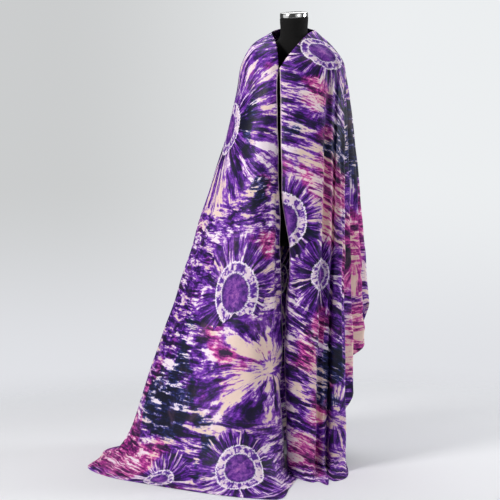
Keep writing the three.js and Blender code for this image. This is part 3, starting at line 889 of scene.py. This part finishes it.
def dyedCloth():
    material, finish = startMaterial("dyedSatin")
    where, hang, edge = (newNode("UVMap", uv_map=name).outputs[0]
                         for name in ("clothPlace", "hangPlace", "edgePlace"))
    middle = (0.5, 0.5, 0.5)
    drift = vectors("SUBTRACT", noise(where, 7.0, 3.0, 0.6, color=True), middle)
    place, rough = (vectors("ADD", where, vectors("MULTIPLY", drift, (reach, reach, 0)))
                    for reach in (dye["warp"], dye["wander"]))
    way, ring, hold, seed = chainKnots(place, rough)

    # streaks outward from each knot, and strokes across the cloth where the pleats were
    streakGroup = makeStreakGroup()
    reach = vectors("LENGTH", way)
    aim = vectors("NORMALIZE", way)
    hasRing = sums("GREATER_THAN", ring, 0.01)
    spokes = blend(hasRing, *dye["spokes"], "FLOAT")
    lift = fromParts(None, None, plus(seed, reach, dye["stretch"]))
    polar = useGroup(streakGroup, spot=vectors("ADD", scaled(aim, spokes), lift))
    tilt = vectors("SUBTRACT", noise(hang, 2.6, 2.0, 0.5, color=True), middle)
    pleatPlace = vectors("ADD", hang, vectors("MULTIPLY", tilt, dye["tilt"]))
    pleats = useGroup(streakGroup, spot=vectors("MULTIPLY", pleatPlace, (*dye["pleats"], 0)))
    blot = noise(where, 10.0, 6.0, 0.62, 0.6)
    spotty = noise(where, 60.0, 4.0, 0.65, 0.4)

    # where a knot's streaks hold, the dark halo round a ring and the pale middle of a burst
    ragged = vary(minus(reach, ring), polar["Streak"], 0.12)
    fades = sums("DIVIDE", ragged, sums("MAXIMUM", hold, 0.01))
    clear = sums("MAXIMUM", hasRing, step(ragged, 0.01, 0.09))
    held = times(below(fades, 0.7, 1.25), clear)
    masks = {
        "blot": minus(blot, 0.5),
        "spotty": minus(spotty, 0.5),
        "halo": times(below(ragged, 0.0, 0.075), hasRing),
        "star": times(below(fades, 0.1, 0.7), minus(1.0, hasRing)),
    }
    patchGroup = makePatchGroup()
    for name, spots in patches.items():
        masks[name] = chainPatches(rough, patchGroup, spots)
    depth = blend(held, pleats["Depth"], polar["Depth"], "FLOAT")
    for name, share in dye["shares"].items():
        depth = plus(depth, masks[name], share)
    depth = plus(dye["depth"], depth, dye["contrast"])

    # washed-out mauve veils soften the purple in places
    veil = noise(vectors("ADD", where, (2.1, 7.3, 0)), 8.0, 5.0, 0.62, 0.5)
    veil = step(veil, 0.52, 0.70)
    depth = plus(depth, veil, dye["veil"])
    warmth = plus(noise(where, 3.4, 3.0, 0.6, 0.3), blot, 0.35)
    warmth = plus(plus(warmth, masks["pink"], 0.36), masks["halo"], -0.2)
    coldness = noise(vectors("ADD", where, (5.3, 1.7, 0)), 4.6, 4.0, 0.6, 0.4)
    coldness = plus(plus(coldness, pleats["Streak"], 0.35), masks["navy"], 0.32)
    coldness = plus(coldness, masks["halo"], -0.08)
    color = colorRamp(depth, dye["plain"])
    color = blend(step(warmth, *dye["warmFrom"]), color, colorRamp(depth, dye["warm"]))
    color = blend(step(coldness, *dye["coldFrom"]), color, colorRamp(depth, dye["cold"]))
    color = blend(times(veil, 0.16), color, dye["mauve"])

    # undyed places are tan in some parts and nearly white in others
    tan = step(plus(noise(where, 5.0, 3.0, 0.6, 0.3), masks["cream"], 0.25), 0.42, 0.62)
    undyed = below(depth, 0.29, 0.385)
    color = blend(times(undyed, 0.85), color, blend(tan, *dye["undyed"]))

    uneven = vary(reach, polar["Fine"], 0.016)
    ringShare = sums("DIVIDE", uneven, sums("MAXIMUM", ring, 0.001))
    around = vectors("ADD", scaled(aim, 2.0), scaled(where, 22.0))
    beads = step(noise(where, 150.0, 2.0, 0.6), 0.36, 0.52)
    tied = useGroup(makeRingGroup(), share=ringShare, ring=ring, grain=spotty, stitch=beads,
                    band=noise(around, 1.0, 4.0, 0.62))
    color = blend(times(tied["Mask"], hasRing), color, tied["Color"])
    color = blend(times(tied["Line"], hasRing), color, dye["line"])

    # pale selvage threads along the fronts, and a dark line of painted shade along the hem, where it is
    # folded under
    side, hem, unused = parts(edge)
    selvage = below(vary(side, spotty, 0.004), 0.0025, 0.0055)
    color = blend(times(selvage, 0.6), color, dye["selvage"])
    # painted shade: a dark line just inside the hem's edge stands for the shadow of the folded-under hem
    hemShadeLine = below(sums("ABSOLUTE", minus(hem, dye["hem"])), 0.0008, 0.003)
    color = blend(times(hemShadeLine, 0.45), color, dye["hemShade"])

    weave = useGroup(weaveGroup, place=where, threads=dye["threads"])
    color = blend(times(weave["Tone"], 0.16), color, (0.9, 0.86, 0.92), mode="SOFT_LIGHT")
    wear = useGroup(wearGroup, place=where, scale=9.0, amount=0.16)
    crinkle = blend(held, pleats["Fine"], polar["Fine"], "FLOAT")
    relief = bumpOf(spotty, 0.0015, 0.35, bumpOf(crinkle, 0.005, 0.5))
    fill(finish, {
        "Base Color": color, "Roughness": sums("ADD", wear["Mask"], dye["roughness"]),
        "Normal": bumpOf(weave["Height"], 0.00012, 0.4, relief), "Specular IOR Level": 0.22,
        "Sheen Weight": dye["sheen"], "Sheen Roughness": 0.35, "Sheen Tint": (0.85, 0.75, 1.0, 1),
        "Anisotropic": 0.4})
    trees.pop()
    return material


clothPiece.data.materials.append(dyedCloth())
print("cloth dyed")


form = {
    "turn": 18,         # degrees its front is turned to the left
    "around": 96,
    "shrink": 1.2,      # mm inside the CAD torso, so the cloth stays clear
    "lift": 0.3,        # mm of air between its underside and the pole's top
    "lean": 10,         # degrees the neck's top drops to the front
}
# height, half width, reach to the front, reach to the back
torsoSections = [
    (800, 128, 78, 96), (812, 138, 86, 104), (890, 150, 92, 116), (980, 138, 86, 96), (1080, 120, 82, 76),
    (1180, 134, 96, 80), (1270, 148, 108, 90), (1350, 156, 94, 98), (1410, 163, 74, 96),
    (1440, 172.5, 60, 84), (1464, 159.5, 54, 74), (1490, 127, 52, 66), (1516, 84, 50, 58),
    (1542, 53, 49, 54), (1611, 52, 52, 52),
]
turn = math.radians(form["turn"])
formFront = np.array([-math.sin(turn), -math.cos(turn), 0])
formSide = np.array([-math.cos(turn), math.sin(turn), 0])


def makeTorso():
    n, shrink = form["around"], form["shrink"]
    top, neckStart = torsoSections[-1][0], torsoSections[-2][0]
    angle = np.linspace(0, 2 * math.pi, n, endpoint=False)
    cos, sin = np.cos(angle), np.sin(angle)
    rings = []
    for z, side, ahead, behind in throughPoints(torsoSections, 5):
        reach = np.where(cos > 0, ahead, behind) - shrink
        share = np.clip((z - neckStart) / (top - neckStart), 0, 1)
        ring = np.outer(cos * reach, formFront) - np.outer(sin * (side - shrink), formSide)
        ring[:, 2] = z - cos * reach * math.tan(math.radians(form["lean"])) * share
        rings.append(ring)
    rings[0][:, 2] += form["lift"]
    points = np.concatenate(rings)
    faces = []
    for r in range(len(rings) - 1):
        for i in range(n):
            a, b = r * n + i, r * n + (i + 1) % n
            faces.append((a, a + n, b + n, b))
    faces.append(tuple(range(n)))
    last = (len(rings) - 1) * n
    faces.append(tuple(reversed(range(last, last + n))))
    return meshPiece("formTorso", points * mm, faces)


torsoPiece = makeTorso()


def turned(name, profile, sides):
    points, faces, rings = [], [], []
    for radius, z in profile:
        if radius == 0:
            rings.append([len(points)])
            points.append((0, 0, z * mm))
            continue
        rings.append(range(len(points), len(points) + sides))
        for i in range(sides):
            a = 2 * math.pi * i / sides
            points.append((radius * math.cos(a) * mm, radius * math.sin(a) * mm, z * mm))
    for low, high in zip(rings, rings[1:]):
        for i in range(sides):
            k = (i + 1) % sides
            if len(low) == 1:
                faces.append((low[0], high[k], high[i]))
            elif len(high) == 1:
                faces.append((low[i], low[k], high[0]))
            else:
                faces.append((low[i], low[k], high[k], high[i]))
    return meshPiece(name, points, faces)


metalProfiles = {
    "formBase": [(0, 0.2), (126, 0.2), (128.8, 0.7), (129.8, 2), (129.9, 5.4), (129, 7.2), (127.4, 7.9),
                 (60, 8.0), (30, 8.2), (27, 9.4), (25.8, 12), (25.2, 34), (24.8, 38), (23.6, 41), (22, 41.9),
                 (0, 41.9)],
    "formPole": [(0, 42.4), (13.6, 42.4), (13.95, 43), (13.95, 400), (13.95, 798.8), (13.6, 799.6),
                 (0, 799.6)],
}
neckTop = {"z": 1611.5, "radius": 50, "height": 20}


def makeMetal():
    base = turned("formBase", metalProfiles["formBase"], 128)
    pole = turned("formPole", metalProfiles["formPole"], 64)
    r, h = neckTop["radius"], neckTop["height"]
    profile = [(0, 0.3), (r - 2.2, 0.3), (r - 0.8, 0.8), (r - 0.2, 2), (r, 3.2), (r - 0.2, h - 7),
               (r - 0.9, h - 4.6), (r - 2.2, h - 2.4), (r - 4.4, h - 0.8), (r - 7, h - 0.1), (r - 9, h - 0.3),
               (r - 10.4, h - 0.9), (r - 12, h - 0.6), (r - 22, h + 0.6), (0, h + 1.3)]
    cap = turned("neckCap", profile, 128)
    lean = math.radians(form["lean"])
    turn = Vector(formSide)
    for v in cap.data.vertices:
        co = v.co.copy()
        co.rotate(Quaternion(turn, -lean))
        v.co = co + Vector((0, 0, neckTop["z"] * mm))
    return base, pole, cap


basePiece, polePiece, capPiece = makeMetal()
print("pieces made")


finishes = {
    "jersey": {"tint": (0.0035, 0.0032, 0.0032), "worn": (0.009, 0.0085, 0.009), "lint": (0.04, 0.04, 0.04),
               "thread": (0.007, 0.007, 0.0072), "roughness": 0.8, "threads": 620.0},
    "chrome": {"tint": (0.78, 0.79, 0.80), "film": (0.60, 0.60, 0.58), "roughness": 0.07,
               "grain": (60.0, 60.0, 700.0)},
    "steel": {"tint": (0.46, 0.465, 0.47), "film": (0.36, 0.36, 0.36), "roughness": 0.30,
              "grain": (900.0, 900.0, 40.0)},
}


def blackJersey():
    look = finishes["jersey"]
    material, finish = startMaterial("blackJersey")
    where = newNode("TexCoord").outputs["Object"]
    x, y, z = parts(where)
    wrapped = fromParts(times(sums("ARCTAN2", y, x), 0.12), z)
    knit = useGroup(weaveGroup, place=wrapped, threads=look["threads"], slant=0.0)
    wear = useGroup(wearGroup, place=where, scale=14.0, amount=0.7)
    tint = blend(wear["Mask"], look["tint"], look["worn"])
    tint = blend(wear["Speck"], tint, look["lint"])
    fill(finish, {
        "Base Color": blend(times(knit["Tone"], 0.5), tint, look["thread"]),
        "Roughness": plus(look["roughness"], wear["Mask"], 0.15),
        "Normal": bumpOf(knit["Height"], 0.0004, 0.6),
        "Specular IOR Level": 0.16, "Sheen Weight": 0.03, "Sheen Roughness": 0.5})
    trees.pop()
    return material


def metalFinish(name):
    look = finishes[name]
    material, finish = startMaterial(name + "Metal")
    where = newNode("TexCoord").outputs["Object"]
    wear = useGroup(wearGroup, place=where, scale=22.0, amount=0.55)
    lines = noise(vectors("MULTIPLY", where, look["grain"]), 1.0, 3.0, 0.6)
    rough = plus(plus(look["roughness"], wear["Mask"], 0.10), wear["Speck"], 0.15)
    fill(finish, {
        "Base Color": blend(wear["Mask"], look["tint"], look["film"]),
        "Roughness": plus(rough, lines, 0.06),
        "Normal": bumpOf(lines, 0.00003, 0.25),
        "Metallic": 1.0})
    trees.pop()
    return material


steelFinish = metalFinish("steel")
for piece, material in ((torsoPiece, blackJersey()), (capPiece, metalFinish("chrome")),
                        (polePiece, steelFinish), (basePiece, steelFinish)):
    piece.data.materials.append(material)
print("cover and metal finished")


for piece, node, slot in (
    (clothPiece, "adire_cloth", "cloth"),
    (torsoPiece, "dress_form", "form_cover"),
    (capPiece, "neck_cap", "cap_metal"),
    (polePiece, "form_pole", "stand_metal"),
    (basePiece, "form_base", "stand_metal"),
):
    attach(piece, "root")
    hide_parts(node)
print("all pieces ride")
